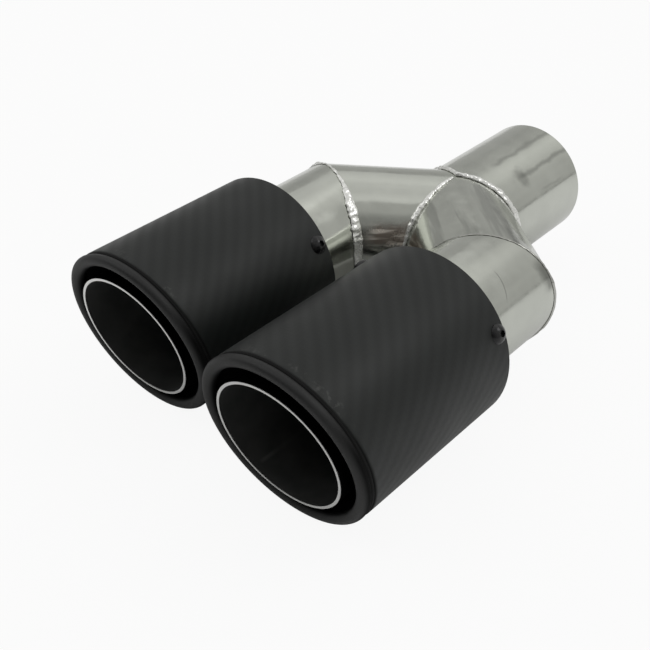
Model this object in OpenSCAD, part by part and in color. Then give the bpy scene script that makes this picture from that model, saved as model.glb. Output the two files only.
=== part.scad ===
// Twin exhaust tip: one inlet pipe, a mitred Y of two branch tubes and two
// slash-cut outlets, each a carbon sleeve round a rolled steel shell.
// Millimetres. Origin at the centre of the inlet mouth, +Y out of the mouth
// towards the car's own pipe, the outlets face -Y, +Z up, +X the long side.

/* [Inlet pipe] */
// how much wider the inlet pipe is than the branch tubes
inlet_over = 1.8; // [0:0.1:4]
// from the inlet mouth to the middle of the Y joint
inlet_reach = 80; // [55:0.5:120]
// deburring chamfer round the outside of the mouth
mouth_break = 0.4; // [0.1:0.1:0.8]

/* [Branch tubes] */
// outside diameter of the branch tubes and outlet stubs
branch_od = 63.8; // [48:0.1:76]
// sheet thickness of the branch tubes and stubs; the inlet pipe has their bore
branch_wall = 1.3; // [0.8:0.1:3]
// distance between the two outlet axes
spacing = 105.6; // [96:0.2:140]
// height of the outlet axes above the inlet axis
tip_rise = 3.3; // [0:0.1:10]
// from the inlet mouth to the left mitre, on the outlet axis
left_mitre = 120.8; // [110:0.2:150]
// from the inlet mouth to the right mitre, on the outlet axis
right_mitre = 129.3; // [110:0.2:150]

/* [Weld beads] */
// width of the bead between the inlet pipe and the branches
inlet_bead = 3.8; // [2:0.1:6]
// width of the bead in the crotch
crotch_bead = 3.6; // [2:0.1:6]
// width of the bead round the left mitre
left_bead = 4.6; // [2:0.1:6]
// width of the bead round the right mitre
right_bead = 3; // [2:0.1:6]
// height of a bead over the tubes, as a share of its width
bead_rise = 0.3; // [0.15:0.01:0.5]
// leg of the fillet beads on the stubs
fillet_leg = 1.6; // [0.8:0.1:2.5]

/* [Outlets] */
// from the inlet mouth to the rear edge of the left sleeve
left_rear = 170.5; // [165:0.5:210]
// from the inlet mouth to the rear edge of the right sleeve
right_rear = 176; // [170:0.5:215]
// left sleeve, rear edge to the face of its inner ring, on the axis
left_len = 95.5; // [80:0.5:140]
// right sleeve, rear edge to the face of its inner ring, on the axis
right_len = 105.7; // [80:0.5:150]
// slash angle of the outlet faces, top further out
slash = 12; // [0:0.5:25]

/* [Sleeve and shell] */
// gap between the inner tube and the rolled lip, which sets the sleeve's size
lip_gap = 5.1; // [3:0.1:10]
// thickness of the carbon sleeve
sleeve_wall = 1.6; // [1:0.1:3]
// glue line between the sleeve and the shell
glue = 0.1; // [0.05:0.05:0.3]
// sheet thickness of the steel shell
shell_wall = 1.2; // [0.8:0.1:2]
// outside radius of the rolled lip
lip_r = 3.05; // [2.4:0.05:4]
// how far the lip's hem turns back behind the middle of the roll
hem = 1.6; // [0.5:0.1:2.2]
// from the middle of the roll back to the front edge of the sleeve
sleeve_set = 3.2; // [1:0.1:5]
// rounding of the sleeve's front edge
sleeve_round = 1; // [0.2:0.1:1.4]
// how far the shell shows behind the sleeve
shell_tail = 0.9; // [0.2:0.1:3]
// chamfer on the rear edge of the sleeve
sleeve_break = 0.4; // [0.1:0.1:1]

/* [Inner tube] */
// slip fit of the inner tube on the stub
liner_fit = 0.1; // [0.05:0.05:0.3]
// sheet thickness of the inner tube
liner_wall = 1.3; // [0.8:0.1:2.5]
// how far the inner tube stands out in front of the lip
liner_stand = 1.2; // [0:0.1:5]
// from the sleeve's rear edge to the rear end of the inner tube
liner_set = 17; // [14:0.5:40]
// length of the inner tube that is pushed over the stub
liner_lap = 26; // [10:0.5:40]

/* [Support ring] */
// sheet thickness of the support ring
ring_wall = 1.2; // [0.8:0.1:2]
// depth of the ring's channel, web face to rear edge
ring_depth = 12; // [9.5:0.5:18]
// how far the ring's rear edge lies inside the sleeve's rear edge
ring_set = 0.5; // [0:0.1:3]
// length of the ring's inner collar on the stub
collar_len = 8; // [4:0.5:10]
// slip fit of the ring in the shell and on the stub
ring_fit = 0.1; // [0.05:0.05:0.3]

/* [Screws] */
// thread diameter of the sleeve screws
screw_d = 5; // [4:0.5:6]
// head diameter
head_d = 9.5; // [7:0.1:11]
// head height
head_h = 2.75; // [1.5:0.05:3.5]
// width across the flats of the hexagon socket
socket_af = 3; // [1.5:0.5:4]
// depth of the hexagon socket
socket_deep = 1.6; // [0.8:0.1:2]
// left screws, from the sleeve's rear edge
left_screw_back = 5.2; // [4.5:0.1:8]
// right screws, from the sleeve's rear edge
right_screw_back = 4.9; // [4.5:0.1:8]
// angle of the first left screw from the top, towards +X
left_clock = 58; // [0:1:119]
// angle of the first right screw from the top, towards +X
right_clock = 64; // [0:1:119]
// width across the flats of the weld nuts
nut_af = 8; // [6.5:0.1:8.5]
// height of the weld nuts
nut_h = 4; // [2:0.1:5]

/* [Hidden] */
$fn = 96;
big = 600;
branch_r = branch_od / 2;
inlet_r = branch_r + inlet_over / 2;
inlet_od = inlet_r * 2;
inlet_wall = inlet_r - branch_r + branch_wall;
liner_ir = branch_r + liner_fit;
liner_r = liner_ir + liner_wall;
liner_od = liner_r * 2;
sleeve_r = liner_r + lip_gap + lip_r * 2;
sleeve_od = sleeve_r * 2;
shell_r = sleeve_r - sleeve_wall - glue;
shell_ir = shell_r - shell_wall;
roll_c = sleeve_r - lip_r;
roll_set = liner_stand + lip_r;
flange_r = shell_ir - ring_fit;
flange_ir = flange_r - ring_wall;
collar_ir = branch_r + ring_fit;
collar_r = collar_ir + ring_wall;
hole_d = screw_d + 0.4;
shank_r = screw_d / 2 - 0.05;
shank_end = flange_ir - nut_h - 1;
slope = tan(slash);
bead_lift = 0.01;
bead_steps = 180;
crotch_gap = asin((inlet_bead / 2 + 0.4) / branch_r);
front_split = roll_set + max(lip_r, sleeve_set + sleeve_round) + sleeve_r * slope + 2;

function unit(v) = v / norm(v);

// the three arms of the Y, as directions away from its middle
joint = [0, -inlet_reach, 0];
left_bend = [-spacing / 2, -left_mitre, tip_rise];
right_bend = [spacing / 2, -right_mitre, tip_rise];
to_inlet = [0, 1, 0];
to_tip = [0, -1, 0];
to_left = unit(left_bend - joint);
to_right = unit(right_bend - joint);

// side is -1 for the left outlet and 1 for the right one
function bend_of(side) = side < 0 ? left_bend : right_bend;
function arm_of(side) = side < 0 ? to_left : to_right;
function rear_of(side) = side < 0 ? left_rear : right_rear;
function len_of(side) = side < 0 ? left_len : right_len;
function back_of(side) = side < 0 ? left_screw_back : right_screw_back;
function clock_of(side) = side < 0 ? left_clock : right_clock;

// stands children with their +Z along d at point p
module along(p, d) {
  translate(p) rotate([0, acos(unit(d)[2]), atan2(d[1], d[0])]) children();
}

// the half space on the side of p that n points to
module half(p, n) {
  along(p, n) translate([-big / 2, -big / 2, 0]) cube([big, big, big]);
}

// plain tube from p along d
module tube(p, d, r, wall, len) {
  along(p, d) difference() {
    cylinder(r = r, h = len);
    translate([0, 0, -1]) cylinder(r = r - wall, h = len + 2);
  }
}

// two directions square to d
function side_x(d) = let (b = acos(d[2]), c = atan2(d[1], d[0]))
  [cos(b) * cos(c), cos(b) * sin(c), -sin(b)];
function side_y(d) = let (c = atan2(d[1], d[0])) [-sin(c), cos(c), 0];

// point of the seam plane with normal n on a tube of radius 1 along d
function seam_point(d, n, t) = let (r = cos(t) * side_x(d) + sin(t) * side_y(d))
  r - d * (n * r) / (n * d);

// middle of the bulge between two corners a and b of a bead, away from p
function bulge(a, b, p, size) = let (m = (a + b) / 2, e = unit(b - a), o = (m - p) - ((m - p) * e) * e)
  m + unit(o) * size;

// one section of a bead of width w: foot on tube a, crown, foot on tube b, root
function bead_section(p, da, db, n, ra, rb, t, w) = let (
  v = seam_point(da, n, t),
  pa = p + (ra + bead_lift) * v,
  pb = p + (rb + bead_lift) * v,
  na = unit(v - (v * da) * da),
  nb = unit(v - (v * db) * db),
  up = unit(na + nb),
  h = w * bead_rise,
  fa = pa + da * w / 2,
  fb = pb + db * w / 2,
  mid = (fa + fb) / 2,
  top = mid + up * (h + max(0, (pa - mid) * up)),
  root = ra > rb ? [pb, pa] : [pa]
) concat([fa, bulge(fa, top, pa, h * 0.22), top, bulge(top, fb, pa, h * 0.22), fb], root);

// size of the scale of solidified metal at step i, with a slow unevenness
function scale_at(i) = [1, 0.93, 0.86][i % 3] * (1 + 0.05 * sin(i * 22) + 0.04 * sin(i * 58));

// body through a row of sections, as a closed loop or with flat ends
module bead_body(rows, loop) {
  m = len(rows[0]);
  last = len(rows) - (loop ? 1 : 2);
  sides = [for (i = [0:last], j = [0:m - 1], h = [0:1])
    let (a = i * m, b = ((i + 1) % len(rows)) * m, q = (j + 1) % m)
      h == 0 ? [a + j, b + j, a + q] : [a + q, b + j, b + q]];
  ends = loop ? [] : [for (e = [0, len(rows) - 1], j = [0:m - 2])
    let (q = [(j + 2) % m, (j + 3) % m], c = e * m)
      if (q[0] != 2 && q[1] != 2) e == 0 ? [c + 2, c + q[0], c + q[1]] : [c + 2, c + q[1], c + q[0]]];
  polyhedron(points = [for (r = rows) each r], faces = concat(sides, ends));
}

// inlet pipe, mitred to a V at the joint
module inlet_pipe() {
  color([0.72, 0.72, 0.69]) difference() {
    tube([0, 0, 0], to_tip, inlet_r, inlet_wall, inlet_reach + inlet_od);
    half(joint, to_left - to_inlet);
    half(joint, to_right - to_inlet);
    rotate([-90, 0, 0]) rotate_extrude()
      polygon([[inlet_r - mouth_break, 0.01], [inlet_r + 0.01, -mouth_break - 0.01],
               [inlet_r + 1, -mouth_break], [inlet_r + 1, 0.01]]);
  }
}

// slanted branch tube between the joint and the mitre
module branch(side) {
  arm = arm_of(side);
  color([0.72, 0.72, 0.69]) difference() {
    tube(joint - arm * branch_od, arm, branch_r, branch_wall,
         norm(bend_of(side) - joint) + 2 * branch_od);
    half(joint, to_inlet - arm);
    half(joint, arm_of(-side) - arm);
    half(bend_of(side), arm + to_tip);
  }
}

// straight stub from the mitre into the sleeve
module stub(side) {
  p = bend_of(side);
  end = rear_of(side) + liner_set + liner_lap;
  color([0.72, 0.72, 0.69]) difference() {
    tube(p - to_tip * branch_od, to_tip, branch_r, branch_wall, end + p[1] + branch_od);
    half(p, -(arm_of(side) + to_tip));
  }
}

// line on which the three seams of the joint meet, and its turn about the
// inlet axis
meet = unit(cross(to_inlet - to_left, to_inlet - to_right));
meet_turn = atan2(meet * side_y(to_inlet), meet * side_x(to_inlet));
right_turn = atan2(to_right * side_y(to_inlet), to_right * side_x(to_inlet));
ahead = unit(to_left + to_right);

// bead between the inlet pipe and both branches, a loop of two half ellipses
module inlet_weld() {
  rows = [for (i = [0:bead_steps - 1]) let (
    t = meet_turn + i * 360 / bead_steps,
    arm = sin(t - meet_turn) * sin(right_turn - meet_turn) > 0 ? to_right : to_left,
    on_meet = i == 0 || i == bead_steps / 2)
      bead_section(joint, to_inlet, on_meet ? ahead : arm, to_inlet - arm, inlet_r, branch_r, t,
                   inlet_bead * scale_at(i))];
  color([0.8, 0.8, 0.78]) bead_body(rows, true);
}

// bead in the crotch between the two branches, an open half ellipse
module crotch_weld() {
  start = atan2(meet * side_y(to_right), meet * side_x(to_right));
  front = atan2(to_tip * side_y(to_right), to_tip * side_x(to_right));
  way = sin(front - start) > 0 ? 1 : -1;
  half_steps = bead_steps / 2;
  rows = [for (i = [0:half_steps])
    bead_section(joint, to_right, to_left, to_right - to_left, branch_r, branch_r,
                 start + way * (crotch_gap + i * (180 - 2 * crotch_gap) / half_steps),
                 crotch_bead * scale_at(i))];
  color([0.8, 0.8, 0.78]) bead_body(way > 0 ? rows : [for (i = [half_steps:-1:0]) rows[i]], false);
}

// bead round the mitre between a branch and its stub
module mitre_weld(side) {
  arm = arm_of(side);
  rows = [for (i = [0:bead_steps - 1])
    bead_section(bend_of(side), to_tip, -arm, arm + to_tip, branch_r, branch_r,
                 i * 360 / bead_steps, (side < 0 ? left_bead : right_bead) * scale_at(i))];
  color([0.8, 0.8, 0.78]) bead_body(rows, true);
}

// places children at an outlet: origin on the outlet axis in the face of the
// inner ring, +Y to the rear
module outlet(side) {
  translate([side * spacing / 2, -rear_of(side) - len_of(side), tip_rise]) children();
}

// slants a turned body so that its front follows the slash cut
module slashed() {
  multmatrix([[1, 0, 0, 0], [0, 1, -slope, 0], [0, 0, 1, 0], [0, 0, 0, 1]])
    rotate([-90, 0, 0]) rotate_extrude() children();
}

// bores through the sleeve wall for the three screws of an outlet
module screw_bores(side, d) {
  for (i = [0:2])
    translate([0, len_of(side) - back_of(side), 0])
      rotate([0, clock_of(side) + 120 * i, 0])
        translate([0, 0, shank_end - 2]) cylinder(d = d, h = sleeve_r - shank_end + 6);
}

// steel shell with the rolled front lip
module tip_shell(side) {
  color([0.16, 0.16, 0.16]) outlet(side) {
    difference() {
      slashed() {
        translate([0, roll_set]) difference() {
          translate([roll_c, 0]) circle(r = lip_r, $fn = 64);
          translate([roll_c, 0]) circle(r = lip_r - shell_wall, $fn = 64);
          translate([0, hem]) square([shell_ir, lip_r * 2]);
        }
        translate([shell_ir, roll_set + lip_r - shell_wall * 0.9])
          square([shell_wall, front_split + sleeve_r * slope]);
      }
      translate([-big / 2, front_split, -big / 2]) cube(big);
    }
    difference() {
      translate([0, front_split, 0]) rotate([-90, 0, 0]) difference() {
        cylinder(r = shell_r, h = len_of(side) + shell_tail - front_split);
        translate([0, 0, -1]) cylinder(r = shell_ir, h = len_of(side));
      }
      screw_bores(side, hole_d);
    }
  }
}

// carbon sleeve, slash cut and rounded in front, square at the rear
module sleeve(side) {
  rest = len_of(side) - front_split;
  color([0.12, 0.12, 0.13]) outlet(side) {
    difference() {
      slashed() translate([sleeve_r - sleeve_wall, roll_set + sleeve_set]) difference() {
        square([sleeve_wall, front_split + sleeve_r * slope]);
        translate([sleeve_wall - sleeve_round, -0.01]) difference() {
          square([sleeve_round + 0.01, sleeve_round + 0.01]);
          translate([0, sleeve_round + 0.01]) circle(r = sleeve_round, $fn = 32);
        }
      }
      translate([-big / 2, front_split, -big / 2]) cube(big);
    }
    difference() {
      translate([0, front_split, 0]) rotate([-90, 0, 0]) rotate_extrude()
        polygon([[sleeve_r - sleeve_wall, 0], [sleeve_r, 0], [sleeve_r, rest - sleeve_break],
                 [sleeve_r - sleeve_break, rest], [sleeve_r - sleeve_wall, rest]]);
      screw_bores(side, hole_d);
    }
  }
}

// black inner tube with its bare front edge
module inner_tube(side) {
  color([0.2, 0.2, 0.2]) outlet(side) difference() {
    rotate([-90, 0, 0]) translate([0, 0, -liner_od]) difference() {
      cylinder(r = liner_r, h = liner_od + len_of(side) - liner_set);
      translate([0, 0, -1]) cylinder(r = liner_ir, h = liner_od + len_of(side));
    }
    half([0, 0, 0], [0, -1, -slope]);
  }
}

// fillet bead between the rear end of the inner tube and the stub
module inner_tube_weld(side) {
  color([0.8, 0.8, 0.78]) outlet(side)
    translate([0, len_of(side) - liner_set, 0]) rotate([-90, 0, 0]) rotate_extrude()
      difference() {
        translate([branch_r, 0]) circle(r = fillet_leg, $fn = 32);
        translate([0, -5]) square([branch_r, 10]);
        translate([0, -10]) square([branch_r + 5, 10]);
      }
}

// channel ring that carries the shell on the stub, open to the rear
module support_ring(side) {
  web = len_of(side) - ring_set - ring_depth;
  color([0.62, 0.62, 0.6]) outlet(side) difference() {
    translate([0, web, 0]) rotate([-90, 0, 0]) rotate_extrude() difference() {
      translate([collar_ir, 0]) square([flange_r - collar_ir, ring_depth]);
      translate([collar_r, ring_wall]) square([flange_ir - collar_r, ring_depth]);
      translate([0, collar_len]) square([collar_r + 0.01, ring_depth]);
    }
    screw_bores(side, hole_d);
  }
}

// fillet bead between the ring's collar and the stub
module ring_weld(side) {
  web = len_of(side) - ring_set - ring_depth;
  color([0.8, 0.8, 0.78]) outlet(side)
    translate([0, web + collar_len, 0]) rotate([-90, 0, 0]) rotate_extrude()
      difference() {
        translate([branch_r, 0]) circle(r = fillet_leg, $fn = 32);
        translate([0, -5]) square([branch_r, 10]);
        translate([0, -10]) square([branch_r + 5, 10]);
      }
}

// stands children at one screw, +Z out along the screw
module at_screw(side, i) {
  outlet(side) translate([0, len_of(side) - back_of(side), 0])
    rotate([0, clock_of(side) + 120 * (i - 1), 0]) children();
}

// round-head screw with a hexagon socket
module screw(side, i) {
  ball = (head_d * head_d / 4 + head_h * head_h) / (2 * head_h);
  color([0.1, 0.1, 0.1]) at_screw(side, i) difference() {
    union() {
      translate([0, 0, shank_end]) cylinder(r = shank_r, h = sleeve_r - shank_end + 0.3);
      intersection() {
        translate([0, 0, sleeve_r]) cylinder(d = head_d, h = head_h + 1);
        translate([0, 0, sleeve_r + head_h - ball]) sphere(r = ball);
      }
    }
    translate([0, 0, sleeve_r + head_h - socket_deep])
      cylinder(d = socket_af / cos(30), h = 3, $fn = 6);
  }
}

// hexagon weld nut on the inside of the ring's flange
module nut(side, i) {
  color([0.55, 0.55, 0.53]) intersection() {
    at_screw(side, i) difference() {
      translate([0, 0, flange_ir - nut_h]) cylinder(d = nut_af / cos(30), h = nut_h + 2, $fn = 6);
      cylinder(d = screw_d, h = sleeve_od);
    }
    outlet(side) rotate([-90, 0, 0]) cylinder(r = flange_ir, h = len_of(side));
  }
}

inlet_pipe();
branch(-1);  // left_branch_tube
branch(1);  // right_branch_tube
stub(-1);  // left_outlet_stub
stub(1);  // right_outlet_stub
inlet_weld();
crotch_weld();
mitre_weld(-1);  // left_mitre_weld
mitre_weld(1);  // right_mitre_weld
tip_shell(-1);  // left_tip_shell
tip_shell(1);  // right_tip_shell
sleeve(-1);  // left_sleeve
sleeve(1);  // right_sleeve
inner_tube(-1);  // left_inner_tube
inner_tube(1);  // right_inner_tube
inner_tube_weld(-1);  // left_inner_tube_weld
inner_tube_weld(1);  // right_inner_tube_weld
support_ring(-1);  // left_support_ring
support_ring(1);  // right_support_ring
ring_weld(-1);  // left_ring_weld
ring_weld(1);  // right_ring_weld
screw(-1, 1);  // left_screw_1
screw(-1, 2);  // left_screw_2
screw(-1, 3);  // left_screw_3
screw(1, 1);  // right_screw_1
screw(1, 2);  // right_screw_2
screw(1, 3);  // right_screw_3
nut(-1, 1);  // left_nut_1
nut(-1, 2);  // left_nut_2
nut(-1, 3);  // left_nut_3
nut(1, 1);  // right_nut_1
nut(1, 2);  // right_nut_2
nut(1, 3);  // right_nut_3
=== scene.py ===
import math

import bpy
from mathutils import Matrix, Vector


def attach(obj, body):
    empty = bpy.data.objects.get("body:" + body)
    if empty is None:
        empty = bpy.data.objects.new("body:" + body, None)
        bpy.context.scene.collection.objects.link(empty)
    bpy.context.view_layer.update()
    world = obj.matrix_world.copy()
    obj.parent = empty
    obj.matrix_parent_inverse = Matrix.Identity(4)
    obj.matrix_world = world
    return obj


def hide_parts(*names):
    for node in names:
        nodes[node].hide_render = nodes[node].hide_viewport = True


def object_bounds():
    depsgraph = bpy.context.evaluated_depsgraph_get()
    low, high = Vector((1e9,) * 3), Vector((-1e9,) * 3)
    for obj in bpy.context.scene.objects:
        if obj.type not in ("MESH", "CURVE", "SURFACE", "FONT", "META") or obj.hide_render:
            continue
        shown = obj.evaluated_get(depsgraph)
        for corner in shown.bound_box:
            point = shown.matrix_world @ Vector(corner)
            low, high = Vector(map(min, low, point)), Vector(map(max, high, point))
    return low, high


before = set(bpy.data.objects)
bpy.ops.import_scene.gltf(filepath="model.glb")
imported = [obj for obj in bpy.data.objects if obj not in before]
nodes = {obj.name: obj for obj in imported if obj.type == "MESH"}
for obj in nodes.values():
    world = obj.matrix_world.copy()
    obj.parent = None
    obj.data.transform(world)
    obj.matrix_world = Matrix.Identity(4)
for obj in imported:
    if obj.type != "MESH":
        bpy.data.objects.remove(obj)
cad_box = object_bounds()

# Y of the exhaust: the inlet pipe, the two slanted branch tubes and the two
# straight stubs that go into the sleeves. Stainless tube, mitred and welded,
# then buffed by hand, so its gloss is wavy, with rubs, painted dark reflection
# lines along the inlet and brown streaks low on the left branch.
STEEL = (0.59, 0.605, 0.555)
OUTLET_X = 0.0528
OUTLET_Z = 0.0033
JOINT = Vector((0, -0.080, 0))
MITRE = {"left": Vector((-OUTLET_X, -0.1208, OUTLET_Z)),
         "right": Vector((OUTLET_X, -0.1293, OUTLET_Z))}


def arm(side):
    """The way from a mitre along its branch to the joint."""
    return (JOINT - MITRE[side]).normalized()


def cut_normal(side):
    """The way square to the cut between a branch and its stub, or the inlet, which run along Y."""
    return (arm(side) + Vector((0, 1, 0))).normalized()


def joined(tree, kind, **inputs):
    """A shader node with its settings, plain inputs and linked inputs; iN is input number N."""
    node = tree.nodes.new(kind)
    for key, value in inputs.items():
        if key in node.inputs:
            socket = node.inputs[key]
        elif key[0] == "i" and key[1:].isdigit():
            socket = node.inputs[int(key[1:])]
        else:
            setattr(node, key, value)
            continue
        if isinstance(value, bpy.types.NodeSocket):
            tree.links.new(value, socket)
        else:
            socket.default_value = value
    return node


def reckon(tree, operation, *values):
    """The result of one Math node."""
    return joined(tree, "ShaderNodeMath", operation=operation,
                  **{f"i{i}": v for i, v in enumerate(values)}).outputs[0]


def span(tree, value, low, high, at_low, at_high, kind="LINEAR"):
    """Value mapped from low..high to at_low..at_high and held there."""
    node = joined(tree, "ShaderNodeMapRange", Value=value, interpolation_type=kind)
    for socket, v in zip(node.inputs[1:5], (low, high, at_low, at_high)):
        socket.default_value = v
    return node.outputs[0]


def eased(tree, *values):
    """A span that sets off and stops softly."""
    return span(tree, *values, "SMOOTHSTEP")


def times(tree, *values):
    """The product of two or more values."""
    result = values[0]
    for value in values[1:]:
        result = reckon(tree, "MULTIPLY", result, value)
    return result


def window(tree, value, opens, opened, closes, closed):
    """0 before opens, 1 from opened to closes and 0 again from closed on, with soft ends."""
    return times(tree, eased(tree, value, opens, opened, 0.0, 1.0),
                 eased(tree, value, closes, closed, 1.0, 0.0))


def noise(tree, vector, scale, detail):
    """Soft noise around 0.5."""
    return joined(tree, "ShaderNodeTexNoise", Vector=vector, Scale=scale, Detail=detail).outputs[0]


def blend(tree, share, first, second):
    """The first colour, turning into the second as share goes from 0 to 1."""
    first, second = ((*c, 1) if isinstance(c, tuple) else c for c in (first, second))
    return joined(tree, "ShaderNodeMix", data_type="RGBA", i0=share, i6=first, i7=second).outputs[2]


def xyz_of(tree, vector):
    """A vector's x, y and z."""
    return tuple(joined(tree, "ShaderNodeSeparateXYZ", i0=vector).outputs)


def apart(tree, vector, point):
    """How far a vector is from a fixed point."""
    return joined(tree, "ShaderNodeVectorMath", operation="DISTANCE", i0=vector,
                  i1=point).outputs["Value"]


def along(tree, vector, way):
    """How far a vector reaches along a fixed one."""
    return joined(tree, "ShaderNodeVectorMath", operation="DOT_PRODUCT", i0=vector,
                  i1=way).outputs["Value"]


def shaken(tree, value, shake, amount):
    """Value moved by amount times what a noise differs from 0.5."""
    return reckon(tree, "MULTIPLY_ADD", reckon(tree, "SUBTRACT", shake, 0.5), amount, value)


def finish_named(name):
    """An empty finish: the material, its tree, its Principled shader and the object's own coordinates."""
    finish = bpy.data.materials.new(name)
    finish.use_nodes = True
    tree = finish.node_tree
    tree.nodes.clear()
    out = tree.nodes.new("ShaderNodeOutputMaterial")
    skin = tree.nodes.new("ShaderNodeBsdfPrincipled")
    tree.links.new(skin.outputs[0], out.inputs[0])
    return finish, tree, skin, tree.nodes.new("ShaderNodeTexCoord").outputs["Object"]


def new_effect(name, inputs, outputs):
    """An empty shader node group; inputs are {label: start value, or None for a vector}."""
    group = bpy.data.node_groups.new(name, "ShaderNodeTree")
    for label, start in inputs.items():
        kind = "NodeSocketVector" if start is None else "NodeSocketFloat"
        socket = group.interface.new_socket(label, in_out="INPUT", socket_type=kind)
        if start is not None:
            socket.default_value = start
    for label in outputs:
        group.interface.new_socket(label, in_out="OUTPUT", socket_type="NodeSocketFloat")
    return group, group.nodes.new("NodeGroupInput").outputs, group.nodes.new("NodeGroupOutput").inputs


def dress(name, finish):
    """Gives a CAD node its finish."""
    nodes[name].data.materials.clear()
    nodes[name].data.materials.append(finish)


buffed, given, gives = new_effect("buffed_metal", {"Vector": None, "Wave": 45.0},
                                  ("Tone", "Roughness", "Height"))
cloud = noise(buffed, given["Vector"], scale=24.0, detail=3.0)
grain = noise(buffed, given["Vector"], scale=1300.0, detail=2.0)
wave = noise(buffed, given["Vector"], scale=given["Wave"], detail=2.0)
smear = noise(buffed, given["Vector"], scale=110.0, detail=4.0)
buffed.links.new(times(buffed, span(buffed, cloud, 0.35, 0.65, 0.90, 1.0),
                       span(buffed, smear, 0.3, 0.7, 0.95, 1.0)), gives["Tone"])
buffed.links.new(reckon(buffed, "ADD", span(buffed, smear, 0.35, 0.7, 0.0, 0.11),
                        span(buffed, grain, 0.3, 0.7, 0.08, 0.15)), gives["Roughness"])
buffed.links.new(reckon(buffed, "MULTIPLY_ADD", smear, 0.12, wave), gives["Height"])


def steel(name, colour, waves, depth, rougher=0.0, marks_and_reflections=None, metal=1.0):
    """Buffed stainless steel. A higher waves makes its waves finer, and depth is how deep they go.
    The marks function gives how much of the tone is left by rubs, and on the inlet by painted dark
    reflection lines."""
    finish, tree, skin, place = finish_named(name)
    group = joined(tree, "ShaderNodeGroup", node_tree=buffed)
    tree.links.new(place, group.inputs["Vector"])
    group.inputs["Wave"].default_value = waves
    tone = times(tree, group.outputs["Tone"], marks_and_reflections(tree, place)) if marks_and_reflections else group.outputs["Tone"]
    tint = joined(tree, "ShaderNodeMix", data_type="RGBA", blend_type="MULTIPLY", i0=1.0,
                  i6=(*colour, 1), i7=tone)
    tree.links.new(tint.outputs[2], skin.inputs["Base Color"])
    skin.inputs["Metallic"].default_value = metal
    tree.links.new(reckon(tree, "ADD", group.outputs["Roughness"], rougher), skin.inputs["Roughness"])
    tree.links.new(joined(tree, "ShaderNodeBump", Strength=1.0, Distance=depth,
                          Height=group.outputs["Height"]).outputs[0], skin.inputs["Normal"])
    return finish


def inlet_painted_reflections(tree, place):
    """Painted dark reflection lines along the top of the inlet, and a darker blotch where one of them
    ends.
    """
    swing = 0.16
    blotch = (0.0215, -0.0465, 0.0248)
    x, y, z = xyz_of(tree, place)
    waver = noise(tree, place, scale=90.0, detail=2.0)
    clock = reckon(tree, "MULTIPLY_ADD", waver, swing, reckon(tree, "ARCTAN2", z, x))
    tones = []
    for degrees, reach, start, end, loss in ((50, 4.0, -0.052, 0.010, 0.34),
                                             (75, 4.5, -0.060, 0.010, 0.30),
                                             (28, 2.5, -0.040, -0.010, 0.16)):
        off = reckon(tree, "SUBTRACT", clock, math.radians(degrees) + swing / 2)
        off = reckon(tree, "ABSOLUTE", off)
        stroke = times(tree, eased(tree, off, 0.0, math.radians(reach), loss, 0.0),
                       window(tree, y, start, start + 0.008, end - 0.012, end))
        tones.append(reckon(tree, "SUBTRACT", 1.0, stroke))
    off = shaken(tree, apart(tree, place, blotch), waver, 0.018)
    return times(tree, *tones, eased(tree, off, 0.0010, 0.0062, 0.70, 1.0))


def stub_rubs(tree, place):
    """The right stub's grey rub beside its mitre, and the hooked scratch that runs round it."""
    # the scratch is hook_set in front of the mitre at hook_top, and further off below
    hook_top = math.radians(58)
    hook_set = 0.0194
    hook_bend = 0.0213
    seat = joined(tree, "ShaderNodeVectorMath", operation="SUBTRACT", i0=place,
                  i1=MITRE["right"]).outputs[0]
    x, y, z = xyz_of(tree, seat)
    clock = reckon(tree, "ARCTAN2", z, x)
    waver = noise(tree, place, scale=160.0, detail=3.0)
    off = shaken(tree, along(tree, seat, -cut_normal("right")), waver, 0.006)
    rub = times(tree, window(tree, clock, *map(math.radians, (12, 20, 36, 50))),
                eased(tree, off, 0.0025, 0.0080, 0.50, 0.0))
    down = reckon(tree, "SUBTRACT", clock, hook_top)
    off = reckon(tree, "MULTIPLY_ADD", times(tree, down, down), hook_bend, y)
    off = reckon(tree, "ABSOLUTE", reckon(tree, "ADD", off, hook_set))
    hook = times(tree, eased(tree, off, 0.0001, 0.0006, 0.30, 0.0),
                 window(tree, clock, *map(math.radians, (30, 38, 54, 62))))
    return reckon(tree, "SUBTRACT", 1.0, reckon(tree, "MAXIMUM", rub, hook))


def branch_rubs(tree, place):
    """Grey strokes that run along the right branch, from noise drawn out along its axis."""
    coarse = 12.3
    fine = 110.0
    axis = -arm("right")
    side = Vector((0, 0, 1)).cross(axis).normalized()
    drawn = joined(tree, "ShaderNodeCombineXYZ", i0=along(tree, place, axis * coarse),
                   i1=along(tree, place, side * fine), i2=along(tree, place, axis.cross(side) * fine))
    return eased(tree, noise(tree, drawn.outputs[0], scale=1.0, detail=3.0), 0.36, 0.50, 0.70, 1.0)


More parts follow.
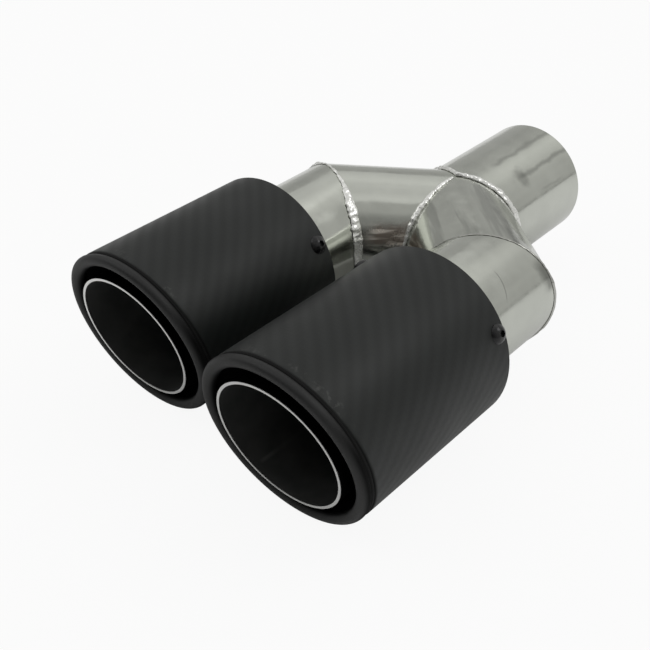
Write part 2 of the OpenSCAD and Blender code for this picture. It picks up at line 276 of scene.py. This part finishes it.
def left_branch_brown_streaks(finish):
    """Adds brown streaks low on the left branch towards its mitre, where it is also less metallic and
    rougher.
    """
    dark_brown = (0.24, 0.205, 0.175)
    pale_brown = (0.80, 0.73, 0.66)
    tree = finish.node_tree
    skin = tree.nodes["Principled BSDF"]
    place = tree.nodes["Texture Coordinate"].outputs["Object"]
    x, y, z = xyz_of(tree, place)
    high = shaken(tree, z, noise(tree, place, scale=120.0, detail=3.0), 0.012)
    tint = times(tree, window(tree, high, 0.0030, 0.0085, 0.0130, 0.0195),
                 eased(tree, x, -0.0215, -0.0140, 0.2, 1.0),
                 eased(tree, y, -0.118, -0.112, 1.0, 0.0))
    streaks = joined(tree, "ShaderNodeVectorMath", operation="MULTIPLY", i0=place, i1=(60.0, 60.0, 420.0))
    streaks = eased(tree, noise(tree, streaks.outputs[0], scale=1.0, detail=2.0), 0.40, 0.62, 0.0, 1.0)
    bare = skin.inputs["Base Color"].links[0].from_socket
    tree.links.new(blend(tree, tint, bare, blend(tree, streaks, dark_brown, pale_brown)),
                   skin.inputs["Base Color"])
    tree.links.new(span(tree, tint, 0.0, 1.0, 1.0, 0.35), skin.inputs["Metallic"])
    bare = skin.inputs["Roughness"].links[0].from_socket
    tree.links.new(reckon(tree, "MULTIPLY_ADD", tint, 0.12, bare), skin.inputs["Roughness"])
    return finish


stub_steel = {"colour": STEEL, "waves": 45.0, "depth": 0.00022}
inlet_steel = {"colour": STEEL, "waves": 45.0, "depth": 0.00018, "rougher": -0.02}
branch_steel = {"colour": STEEL, "waves": 30.0, "depth": 0.0006, "rougher": -0.02}
dress("left_outlet_stub", steel("polished_left_stub", **stub_steel))
dress("right_outlet_stub", steel("polished_right_stub", **stub_steel, marks_and_reflections=stub_rubs))
dress("inlet_pipe", steel("polished_inlet", **inlet_steel, marks_and_reflections=inlet_painted_reflections))
dress("right_branch_tube", steel("polished_branch", **branch_steel, marks_and_reflections=branch_rubs))
dress("left_branch_tube", left_branch_brown_streaks(steel("tinted_branch", **branch_steel)))

# Weld beads: filler metal laid by hand along the seams of the Y, in small
# overlapping scales, wide on the left mitre, thin and ground down on the right
# one. Each is worked from a copy of its solid and softened as the melt is.
BRIGHT_BEAD = (0.92, 0.92, 0.89)
GROUND_BEAD = (0.50, 0.50, 0.47)
bead_metal = steel("weld_metal", BRIGHT_BEAD, waves=700.0, depth=0.0001, rougher=0.10, metal=0.75)
ground_metal = steel("ground_weld_metal", GROUND_BEAD, waves=400.0, depth=0.0001, rougher=0.06)
runs = bpy.data.textures.new("melt_runs", "CLOUDS")
runs.noise_scale = 0.0035
runs.noise_depth = 2


def held(value, low, high):
    """How far value has come from low to high, kept within 0 and 1."""
    return min(max((value - low) / (high - low), 0.0), 1.0)


def worked(piece, kind, **settings):
    """Gives a piece a modifier with its settings and applies it."""
    mod = piece.modifiers.new(kind.lower(), kind)
    for key, value in settings.items():
        setattr(mod, key, value)
    bpy.ops.object.modifier_apply(modifier=mod.name)


def melted_bead(name, ripple, works, finish=bead_metal):
    """A softened, rippled copy of a solid bead, which it replaces. Each of its works is a label, a
    function that gives a point's share in it, and the way and length that a full share is pushed."""
    bpy.ops.object.select_all(action="DESELECT")
    solid = nodes[name]
    bead = solid.copy()
    bead.data = solid.data.copy()
    bead.name = name + "_melt"
    bead.data.name = bead.name
    bpy.context.collection.objects.link(bead)
    bead.parent = None
    bead.matrix_world = solid.matrix_world
    bead.select_set(True)
    bpy.context.view_layer.objects.active = bead
    bpy.ops.object.mode_set(mode="EDIT")
    bpy.ops.mesh.select_all(action="SELECT")
    bpy.ops.mesh.remove_doubles(threshold=0.00001)
    bpy.ops.mesh.tris_convert_to_quads(face_threshold=math.radians(50), shape_threshold=math.radians(60))
    bpy.ops.object.mode_set(mode="OBJECT")
    for label, share, way, length in works:
        group = bead.vertex_groups.new(name=label)
        for v in bead.data.vertices:
            group.add([v.index], share(v.co), "REPLACE")
        worked(bead, "DISPLACE", vertex_group=label, direction=way, mid_level=0.0, strength=length)
    worked(bead, "SUBSURF", levels=2, render_levels=2)
    worked(bead, "DISPLACE", texture=runs, strength=ripple, mid_level=0.5, texture_coords="GLOBAL")
    bpy.ops.object.shade_smooth()
    bead.data.materials.clear()
    bead.data.materials.append(finish)
    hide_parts(name)
    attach(bead, "root")


def inlet_wash(point):
    """The inlet bead's foot on the pipe, on top and to the right."""
    foot = held((point - JOINT).dot(cut_normal("right")), 0.0004, 0.0018)
    return foot * held(point.x, 0.004, 0.012) * held(point.z, 0.0, 0.010)


def right_grind(point):
    """The top of the right mitre's bead."""
    return held(point.z, 0.014, 0.024)


def left_grind(point):
    """The very top of the left mitre's bead."""
    return held(point.z, 0.0315, 0.0345)


def left_wash(point):
    """The left bead's foot on the stub, below the ground stretch."""
    foot = held((MITRE["left"] - point).dot(cut_normal("left")), 0.0003, 0.0020)
    return foot * held(point.z, -0.012, 0.004) * held(0.0335 - point.z, 0.0, 0.008)


def crotch_build(point):
    """The upper middle of the crotch bead."""
    return held(point.z, 0.012, 0.020) * held(0.0330 - point.z, 0.0, 0.008)


melted_bead("inlet_weld", 0.0010, [("washed", inlet_wash, "Y", 0.0018)])
melted_bead("right_mitre_weld", 0.0006, [("ground", right_grind, "NORMAL", -0.0005)], ground_metal)
melted_bead("left_mitre_weld", 0.0012, [("ground", left_grind, "NORMAL", -0.00115),
                                        ("washed", left_wash, "Y", -0.0040)])
melted_bead("crotch_weld", 0.0012, [("built_up", crotch_build, "NORMAL", 0.0009)])
for name in nodes:
    if name.endswith("_weld"):
        dress(name, bead_metal)

# Support rings and weld nuts: plain pressed stainless inside the sleeves, the
# nuts welded to the rings, seen only from behind.
PRESSED_GREY = (0.50, 0.495, 0.475)
pressed = steel("plain_stainless", PRESSED_GREY, waves=30.0, depth=0.0002, rougher=0.16)
for name in nodes:
    if "support_ring" in name or "_nut_" in name:
        dress(name, pressed)

# Outlet shells: steel tube whose front is rolled over into the lip, satin
# black all over, a little dusty, with painted shade in the hollow where it runs
# down to the sleeve.
FACE = {"left": -0.2660, "right": -0.2817}
SLASH = math.radians(12)
SATIN_BLACK = (0.0125, 0.0128, 0.013)
DUSTY_BLACK = (0.021, 0.0215, 0.022)
HOLLOW_SHADE_BLACK = (0.0035, 0.0036, 0.0036)

# Back is the distance behind an outlet's slashed face; the first output is the
# painted shade of the hollow between lip and sleeve, 1 there and fading both
# ways, and weaker on top where the light falls in.
hollow, given, gives = new_effect("lip_hollow", {"Vector": None}, ("Seam", "Back", "High"))
x, y, z = xyz_of(hollow, given["Vector"])
lean = reckon(hollow, "MULTIPLY_ADD", reckon(hollow, "SUBTRACT", z, OUTLET_Z), math.tan(SLASH), y)
face = span(hollow, x, -0.0001, 0.0001, FACE["left"], FACE["right"])
back = reckon(hollow, "SUBTRACT", lean, face)
deep = times(hollow, window(hollow, back, 0.0014, 0.0042, 0.0074, 0.0100),
             eased(hollow, z, 0.016, 0.040, 1.0, 0.10))
for label, value in (("Seam", deep), ("Back", back), ("High", z)):
    hollow.links.new(value, gives[label])

lip_finish, tree, skin, place = finish_named("satin_black_lip")
grit = noise(tree, place, scale=1600.0, detail=2.0)
dust = noise(tree, place, scale=60.0, detail=4.0)
group = joined(tree, "ShaderNodeGroup", node_tree=hollow)
tree.links.new(place, group.inputs["Vector"])
seam = group.outputs["Seam"]
paint = blend(tree, span(tree, dust, 0.45, 0.8, 0.0, 1.0), SATIN_BLACK, DUSTY_BLACK)
# The hollow behind the lip gets painted shade: near-black, rougher and with less shine.
tree.links.new(blend(tree, seam, paint, HOLLOW_SHADE_BLACK), skin.inputs["Base Color"])
rough = reckon(tree, "ADD", span(tree, grit, 0.3, 0.7, 0.46, 0.53), span(tree, dust, 0.4, 0.8, 0.0, 0.06))
tree.links.new(reckon(tree, "MULTIPLY_ADD", seam, 0.4, rough), skin.inputs["Roughness"])
tree.links.new(span(tree, seam, 0.0, 1.0, 0.42, 0.12), skin.inputs["Specular IOR Level"])
tree.links.new(joined(tree, "ShaderNodeBump", Strength=0.2, Distance=0.00008, Height=grit).outputs[0],
               skin.inputs["Normal"])
for name in ("left_tip_shell", "right_tip_shell"):
    dress(name, lip_finish)

# Sealer: a ring of black adhesive that each sleeve is bedded in, lying in the
# hollow behind the lip and kept darker than the paint to stand in for the
# hollow's shade as well. It lies low and slightly lumpy, squeezed out and wiped
# with a finger.
SEALER_SHADE_BLACK = (0.0045, 0.0046, 0.0046)
SEALER_WORN = (0.010, 0.010, 0.010)
SEALER_SET = 0.0071
SEALER_RADIUS = 0.0429
SEALER_THICK = 0.00276
SEALER_LUMPS = 0.00016
sealer, tree, skin, place = finish_named("black_sealer_shade")
lump = noise(tree, place, scale=500.0, detail=3.0)
tree.links.new(blend(tree, span(tree, lump, 0.4, 0.75, 0.0, 1.0), SEALER_SHADE_BLACK, SEALER_WORN),
               skin.inputs["Base Color"])
tree.links.new(span(tree, lump, 0.3, 0.7, 0.75, 0.9), skin.inputs["Roughness"])
skin.inputs["Specular IOR Level"].default_value = 0.2
lumps = bpy.data.textures.new("wiped_lumps", "CLOUDS")
lumps.noise_scale = 0.006


def sealer_shade_ring(side, centre_x):
    """A ring of sealer in the hollow, dark as painted shade too, leaned over with the slashed face."""
    bpy.ops.object.select_all(action="DESELECT")
    bpy.ops.mesh.primitive_torus_add(location=(centre_x, FACE[side] + SEALER_SET, OUTLET_Z),
                                     rotation=(math.radians(90) + SLASH, 0, 0),
                                     major_radius=SEALER_RADIUS, minor_radius=SEALER_THICK / 2,
                                     major_segments=144, minor_segments=16)
    bead = bpy.context.object
    bead.name = bead.data.name = side + "_lip_sealer_shade"
    bead.scale = (1, 1 / math.cos(SLASH), 1)
    bpy.ops.object.transform_apply(location=True, rotation=True, scale=True)
    worked(bead, "DISPLACE", texture=lumps, strength=SEALER_LUMPS, texture_coords="GLOBAL")
    bpy.ops.object.shade_smooth()
    bead.data.materials.append(sealer)
    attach(bead, "root")


sealer_shade_ring("left", -OUTLET_X)
sealer_shade_ring("right", OUTLET_X)

# Carbon sleeves: 2 by 2 twill, its tows running along and around, under a matte
# coat that lets only the slanting bands show. Each is slid over its shell, set
# in the sealer and screwed at the rear.
TOW = 0.00225
SLEEVE_RADIUS = 0.0445
ROWS_ADDED = 400.0
FIBRE_DARK = (0.0050, 0.0064, 0.0059)
FIBRE_PALE = (0.0105, 0.0126, 0.0118)
GLINT_GREY = (0.22, 0.22, 0.21)
CREASE_SHADE_DARK = (0.0030, 0.0032, 0.0031)
BAND_SHARE = 0.62
OVER_SHARE = 0.12
FIBRE_SHARE = 0.25

# Over is 1 where a tow along the sleeve lies on top, Band goes up and down
# across the slanting rows, Crown is each tow's rounded height. Whole rows are
# added so that the counts stay above 0.
twill, given, gives = new_effect(
    "twill_weave", {"Vector": None, "CentreX": 0.0, "CentreZ": 0.0}, ("Band", "Over", "Crown"))
x, y, z = xyz_of(twill, given["Vector"])
turn = reckon(twill, "ARCTAN2", reckon(twill, "SUBTRACT", x, given["CentreX"]),
              reckon(twill, "SUBTRACT", z, given["CentreZ"]))
u = reckon(twill, "MULTIPLY_ADD", turn, SLEEVE_RADIUS / TOW, ROWS_ADDED)
v = reckon(twill, "MULTIPLY_ADD", y, 1 / TOW, ROWS_ADDED)
step = reckon(twill, "ADD", reckon(twill, "FLOOR", u), reckon(twill, "FLOOR", v))
step = reckon(twill, "MODULO", step, 4.0)
over = reckon(twill, "LESS_THAN", step, 1.5)
twill.links.new(over, gives["Over"])
slant = reckon(twill, "COSINE", times(twill, reckon(twill, "ADD", u, v), math.pi / 2))
twill.links.new(reckon(twill, "MULTIPLY_ADD", slant, 0.5, 0.5), gives["Band"])
across = joined(twill, "ShaderNodeMix", data_type="FLOAT", i0=over, i2=reckon(twill, "FRACT", v),
                i3=reckon(twill, "FRACT", u)).outputs[0]
edge = reckon(twill, "ABSOLUTE", reckon(twill, "MULTIPLY_ADD", across, 2.0, -1.0))
twill.links.new(reckon(twill, "SUBTRACT", 1.0, reckon(twill, "POWER", edge, 3.0)), gives["Crown"])


def painted_glints(tree, place, back, high):
    """Painted highlight specks on the upper front edge of a sleeve, on top only where the light falls."""
    speck = noise(tree, place, scale=480.0, detail=4.0)
    patch = noise(tree, place, scale=90.0, detail=2.0)
    return times(tree, span(tree, speck, 0.50, 0.72, 0.0, 0.20), span(tree, patch, 0.48, 0.62, 0.0, 1.0),
                 window(tree, back, 0.0078, 0.0088, 0.0100, 0.0150),
                 eased(tree, high, 0.026, 0.036, 0.0, 1.0))


def carbon(name, centre_x):
    """Twill about one outlet's axis; at the lip it is rougher and carries painted shade in the hollow."""
    finish, tree, skin, place = finish_named(name)
    group = joined(tree, "ShaderNodeGroup", node_tree=twill)
    tree.links.new(place, group.inputs["Vector"])
    group.inputs["CentreX"].default_value = centre_x
    group.inputs["CentreZ"].default_value = OUTLET_Z
    front = joined(tree, "ShaderNodeGroup", node_tree=hollow)
    tree.links.new(place, front.inputs["Vector"])
    seam = front.outputs["Seam"]
    cloudy = noise(tree, place, scale=35.0, detail=4.0)
    fibre = noise(tree, place, scale=900.0, detail=2.0)
    share = times(tree, group.outputs["Band"], BAND_SHARE)
    share = reckon(tree, "MULTIPLY_ADD", group.outputs["Over"], OVER_SHARE, share)
    share = reckon(tree, "MULTIPLY_ADD", fibre, FIBRE_SHARE, share)
    cloth = blend(tree, share, FIBRE_DARK, FIBRE_PALE)
    # Painted highlight specks along the top of the sleeve's front edge.
    cloth = blend(tree, painted_glints(tree, place, front.outputs["Back"], front.outputs["High"]), cloth, GLINT_GREY)
    # Painted shade darkens the sleeve in the hollow behind the lip.
    tree.links.new(blend(tree, seam, cloth, CREASE_SHADE_DARK), skin.inputs["Base Color"])
    rough = span(tree, cloudy, 0.35, 0.7, 0.45, 0.52)
    rough = reckon(tree, "MULTIPLY_ADD", group.outputs["Band"], -0.035, rough)
    tree.links.new(reckon(tree, "MULTIPLY_ADD", seam, 0.4, rough), skin.inputs["Roughness"])
    tree.links.new(span(tree, seam, 0.0, 1.0, 0.36, 0.12), skin.inputs["Specular IOR Level"])
    tree.links.new(joined(tree, "ShaderNodeBump", Strength=0.06, Distance=0.0002,
                          Height=group.outputs["Crown"]).outputs[0], skin.inputs["Normal"])
    return finish


dress("left_sleeve", carbon("left_carbon_twill", -OUTLET_X))
dress("right_sleeve", carbon("right_carbon_twill", OUTLET_X))

# Inner tubes: seamed steel tube painted matte black, pushed over the stubs and
# welded there. The slashed front edge is ground bare again, which leaves the
# bright ring in each outlet.
BARE_DEPTH = 0.00035
BARE_STEEL = (0.93, 0.93, 0.92)
OUTSIDE_FROM = 0.0327
TUBE_DARK = (0.026, 0.0275, 0.0265)
TUBE_PALE = (0.045, 0.045, 0.044)
TUBE_SEAM = (0.08, 0.08, 0.078)
TUBE_SEAM_SHARE = 0.6
TUBE_OUTSIDE_SHADE = (0.0008, 0.0008, 0.0008)


def black_tube(side, centre_x, seam_turn):
    """Matte black up to the bare edge in the slashed plane, blackest outside where the gap's shade is
    painted on, with a seam inside.
    """
    finish, tree, skin, place = finish_named(side + "_inner_black")
    x, y, z = xyz_of(tree, place)
    across = reckon(tree, "SUBTRACT", x, centre_x)
    high = reckon(tree, "SUBTRACT", z, OUTLET_Z)
    back = reckon(tree, "SUBTRACT", reckon(tree, "MULTIPLY_ADD", high, math.tan(SLASH), y), FACE[side])
    bare = reckon(tree, "LESS_THAN", back, BARE_DEPTH)
    far = reckon(tree, "SQRT", reckon(tree, "MULTIPLY_ADD", across, across, times(tree, high, high)))
    outside = reckon(tree, "GREATER_THAN", far, OUTSIDE_FROM)
    turn = reckon(tree, "ARCTAN2", across, times(tree, high, -1.0))
    off = reckon(tree, "ABSOLUTE", reckon(tree, "SUBTRACT", turn, seam_turn))
    streak = times(tree, eased(tree, off, 0.01, 0.04, 1.0, 0.0),
                   eased(tree, back, 0.003, 0.006, 0.0, 1.0),
                   eased(tree, back, 0.010, 0.017, 1.0, 0.2), TUBE_SEAM_SHARE)
    soot = noise(tree, place, scale=70.0, detail=4.0)
    paint = blend(tree, span(tree, soot, 0.35, 0.7, 0.0, 1.0), TUBE_DARK, TUBE_PALE)
    # Outside, in the gap behind the lip, the colour is near-black painted shade with almost no shine.
    paint = blend(tree, outside, blend(tree, streak, paint, TUBE_SEAM), TUBE_OUTSIDE_SHADE)
    tree.links.new(blend(tree, bare, paint, BARE_STEEL), skin.inputs["Base Color"])
    tree.links.new(bare, skin.inputs["Metallic"])
    tree.links.new(reckon(tree, "MULTIPLY_ADD", bare, -0.28, span(tree, soot, 0.3, 0.7, 0.56, 0.66)),
                   skin.inputs["Roughness"])
    tree.links.new(span(tree, outside, 0.0, 1.0, 0.3, 0.02), skin.inputs["Specular IOR Level"])
    return finish


dress("left_inner_tube", black_tube("left", -OUTLET_X, seam_turn=2.4))
dress("right_inner_tube", black_tube("right", OUTLET_X, seam_turn=-0.66))

# Screws: black button-head socket screws, three to a sleeve, turned into the
# weld nuts of the support ring.
BLACK_COAT = (0.010, 0.010, 0.011)
WORN_COAT = (0.035, 0.034, 0.033)
screw_finish, tree, skin, place = finish_named("black_screw_finish")
grit = noise(tree, place, scale=2200.0, detail=2.0)
wear = noise(tree, place, scale=420.0, detail=3.0)
tree.links.new(blend(tree, span(tree, wear, 0.5, 0.75, 0.0, 1.0), BLACK_COAT, WORN_COAT),
               skin.inputs["Base Color"])
skin.inputs["Metallic"].default_value = 0.25
tree.links.new(span(tree, grit, 0.3, 0.7, 0.17, 0.29), skin.inputs["Roughness"])
for name in nodes:
    if "_screw_" in name:
        dress(name, screw_finish)

# Table: a plain white board under the lowest screw heads. The camera sees it
# white with the part's soft shadow, and the steel sees it paler further off.
TABLE_GAP = 0.0005
TABLE_Z = cad_box[0].z - TABLE_GAP
BOARD = (0.84, 0.84, 0.84, 1)
SEEN_WHITE = 0.92
UNDER_PART = (-0.02, -0.085, TABLE_Z)
bpy.ops.object.select_all(action="DESELECT")
bpy.ops.mesh.primitive_plane_add(size=12, location=(0, 0, TABLE_Z))
table = bpy.context.object
table.name = "table"
board_finish, tree, skin, place = finish_named("white_board")
skin.inputs["Base Color"].default_value = BOARD
skin.inputs["Roughness"].default_value = 0.9
skin.inputs["Specular IOR Level"].default_value = 0.1
ray = tree.nodes.new("ShaderNodeLightPath").outputs
squeezed = joined(tree, "ShaderNodeVectorMath", operation="MULTIPLY", i0=place, i1=(1.0, 0.55, 1.0))
paler = times(tree, eased(tree, apart(tree, squeezed.outputs[0], UNDER_PART), 0.07, 0.17, 0.0, 0.45),
              eased(tree, xyz_of(tree, place)[1], -0.32, -0.18, 0.0, 1.0))
mirrored = reckon(tree, "MAXIMUM", ray["Is Glossy Ray"], ray["Is Transmission Ray"])
white = reckon(tree, "MAXIMUM", times(tree, ray["Is Camera Ray"], SEEN_WHITE),
               times(tree, mirrored, paler))
glow = joined(tree, "ShaderNodeEmission", Color=(1, 1, 1, 1), Strength=1.0)
both = joined(tree, "ShaderNodeMixShader", i0=white, i1=skin.outputs[0], i2=glow.outputs[0])
tree.links.new(both.outputs[0], tree.nodes["Material Output"].inputs[0])
table.data.materials.append(board_finish)

# Room: white to the camera; round the part a pale cloth tent, brightest on top,
# dim towards the front, with a dark foot that shows as a line along the tubes.
# TENT is its grey at each angle about the Y axis, from +X over the top.
TENT = ((0, 0.34), (3, 0.46), (8, 0.58), (30, 0.60), (50, 0.63), (66, 0.66), (83, 0.80),
        (94, 0.74), (107, 0.58), (120, 0.52), (135, 0.48))
TENT_ENDS = ((0.42, 0.42, 0.41, 1), (0.50, 0.50, 0.49, 1))
TENT_WARMTH = 0.98
POST = (-0.30, 0.94, -0.02)
world = bpy.data.worlds.new("room")
bpy.context.scene.world = world
world.use_nodes = True
tree = world.node_tree
tree.nodes.clear()
out = tree.nodes.new("ShaderNodeOutputWorld")
way = tree.nodes.new("ShaderNodeTexCoord").outputs["Generated"]
x, y, z = xyz_of(tree, way)
tent = tree.nodes.new("ShaderNodeValToRGB")
tree.links.new(span(tree, reckon(tree, "ARCTAN2", z, x), -math.pi, math.pi, 0.0, 1.0), tent.inputs[0])
for position, colour in enumerate(TENT_ENDS):
    tent.color_ramp.elements[position].position = position
    tent.color_ramp.elements[position].color = colour
for degrees, shade in TENT:
    colour = (shade, shade, shade * TENT_WARMTH, 1)
    tent.color_ramp.elements.new((degrees + 180) / 360).color = colour
front = reckon(tree, "MAXIMUM", eased(tree, y, -0.95, -0.12, 0.18, 1.0),
               eased(tree, z, 0.62, 0.88, 0.0, 0.5))
level = times(tree, span(tree, noise(tree, way, scale=2.6, detail=2.0), 0.35, 0.65, 0.88, 1.10), front,
              eased(tree, apart(tree, way, POST), 0.06, 0.30, 0.62, 1.0),
              eased(tree, z, 0.80, 0.96, 1.0, 0.68))
dim = joined(tree, "ShaderNodeBackground", Color=tent.outputs[0], Strength=level)
clear = joined(tree, "ShaderNodeBackground", Color=(1, 1, 1, 1), Strength=1.0)
seen = tree.nodes.new("ShaderNodeLightPath").outputs["Is Camera Ray"]
both = joined(tree, "ShaderNodeMixShader", i0=seen, i1=dim.outputs[0], i2=clear.outputs[0])
tree.links.new(both.outputs[0], out.inputs[0])

MIDDLE = Vector((0, -0.16, 0))


def softbox(name, place, size, power):
    """A rectangular lamp that faces the middle of the part."""
    lamp = bpy.data.lights.new(name, "AREA")
    lamp.shape = "RECTANGLE"
    lamp.size, lamp.size_y = size
    lamp.energy = power
    stand = bpy.data.objects.new(name, lamp)
    bpy.context.collection.objects.link(stand)
    stand.location = place
    stand.rotation_euler = (MIDDLE - Vector(place)).to_track_quat("-Z", "Y").to_euler()


softbox("overhead", place=(-0.6, 0.0, 1.6), size=(3.0, 2.4), power=6.0)
softbox("front_left", place=(-1.3, -1.1, 2.0), size=(1.8, 1.6), power=5.5)
softbox("back_right", place=(1.0, 0.55, 1.45), size=(0.8, 0.7), power=4.0)

# Camera: at the photograph's side and height, turned as it was held, with the
# lens that its edges converge for.
camera = bpy.data.objects.new("camera", bpy.data.cameras.new("camera"))
bpy.context.collection.objects.link(camera)
camera.data.sensor_width = 36
camera.data.lens = 60.69
camera.data.clip_start = 0.01
camera.location = (0.29395, -0.52871, 0.29403)
camera.rotation_euler = tuple(map(math.radians, (56.131, 0.890, 40.298)))
bpy.context.scene.camera = camera

# Colours as written.
bpy.context.scene.view_settings.view_transform = "Standard"
bpy.context.view_layer.update()
